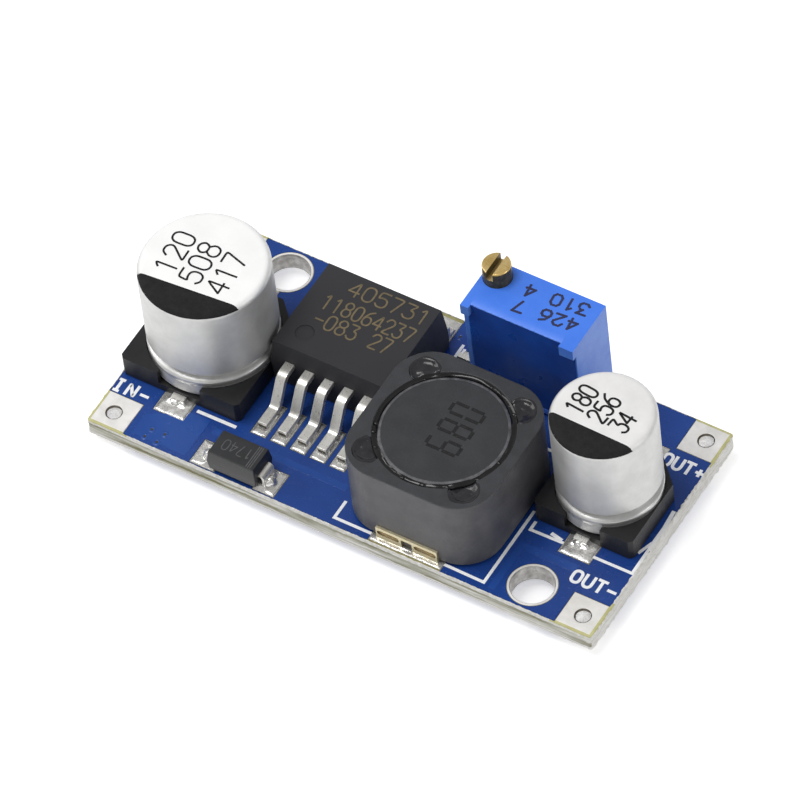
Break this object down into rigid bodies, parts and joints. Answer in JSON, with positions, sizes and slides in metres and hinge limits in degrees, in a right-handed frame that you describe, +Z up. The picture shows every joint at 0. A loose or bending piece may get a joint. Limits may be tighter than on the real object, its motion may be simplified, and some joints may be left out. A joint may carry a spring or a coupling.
{
  "type": "step-down converter module",
  "caption": "Small blue circuit board with a step-down regulator, shielded inductor, can capacitors, diode and a screw trimmer that sets the output voltage.",
  "frame": {"origin": "under the centre of the board, level with the tips of the trimmer's pins, the lowest points", "axes": "+X from the input end to the output end, +Y from the front edge (minus pads, diode and inductor) to the back edge (plus pads, regulator tab and trimmer), +Z up"},
  "size_m": [0.043, 0.0208, 0.014],
  "materials": {
    "fr4": "matt",
    "solder_mask": "gloss",
    "tinned_land": "satin",
    "can_aluminium": "satin",
    "base_plastic": "matt",
    "bung_rubber": "matt",
    "foil_winding": "matt",
    "tinned_lead": "satin",
    "moulded_epoxy": "matt",
    "ferrite": "matt",
    "copper_wire": "satin",
    "black_glue": "gloss",
    "terminal_plate": "satin",
    "blue_plastic": "satin",
    "blue_potting": "gloss",
    "ceramic": "matt",
    "brass": "satin",
    "seal_rubber": "matt",
    "carriage_plastic": "matt",
    "wiper_alloy": "satin",
    "resistor_body": "gloss",
    "solder": "gloss"
  },
  "bodies": {
    "board_assembly": {"board_laminate": "fr4", "solder_mask_top": "solder_mask", "solder_mask_bottom": "solder_mask", "wire_pad_in_minus": "tinned_land", "wire_pad_in_plus": "tinned_land", "wire_pad_out_minus": "tinned_land", "wire_pad_out_plus": "tinned_land", "mounting_rim_back": "tinned_land", "mounting_rim_front": "tinned_land", "surface_lands": "tinned_land", "trimmer_lands": "tinned_land", "input_cap_can": "can_aluminium", "input_cap_base": "base_plastic", "input_cap_bung": "bung_rubber", "input_cap_winding": "foil_winding", "input_cap_lead_minus": "tinned_lead", "input_cap_lead_plus": "tinned_lead", "output_cap_can": "can_aluminium", "output_cap_base": "base_plastic", "output_cap_bung": "bung_rubber", "output_cap_winding": "foil_winding", "output_cap_lead_minus": "tinned_lead", "output_cap_lead_plus": "tinned_lead", "regulator_body": "moulded_epoxy", "regulator_tab": "tinned_lead", "regulator_lead_1": "tinned_lead", "regulator_lead_2": "tinned_lead", "regulator_lead_3": "tinned_lead", "regulator_lead_4": "tinned_lead", "regulator_lead_5": "tinned_lead", "diode_body": "moulded_epoxy", "diode_lead_anode": "tinned_lead", "diode_lead_cathode": "tinned_lead", "inductor_shield": "ferrite", "inductor_core": "ferrite", "inductor_winding": "copper_wire", "inductor_glue": "black_glue", "inductor_terminal_front": "terminal_plate", "inductor_terminal_back": "terminal_plate", "trimmer_housing": "blue_plastic", "trimmer_potting": "blue_potting", "trimmer_element": "ceramic", "trimmer_seal_ring": "seal_rubber", "trimmer_pin_1": "tinned_lead", "trimmer_pin_2": "tinned_lead", "trimmer_pin_3": "tinned_lead", "resistor_chip": "resistor_body", "resistor_caps": "tinned_lead", "solder_input_cap": "solder", "solder_output_cap": "solder", "solder_regulator": "solder", "solder_diode": "solder", "solder_inductor": "solder", "solder_trimmer": "solder", "solder_resistor": "solder"},
    "adjusting_screw": {"trimmer_screw": "brass"},
    "wiper_carriage": {"trimmer_carriage": "carriage_plastic", "trimmer_wiper": "wiper_alloy"}
  },
  "joints": [
    {"name": "screw_turn", "type": "hinge", "parent": "board_assembly", "child": "adjusting_screw", "pos_m": [0.00335, 0.0086, 0.012], "axis": [0, 0, 1], "range_deg": [-4500, 4500]},
    {"name": "wiper_travel", "type": "slide", "parent": "board_assembly", "child": "wiper_carriage", "axis": [0, 0, 1], "range_m": [-0.00312, 0.00312]}
  ],
  "couplings": [
    {"joint": "screw_turn", "follows": "wiper_travel", "rad_per_m": -25133}
  ]
}
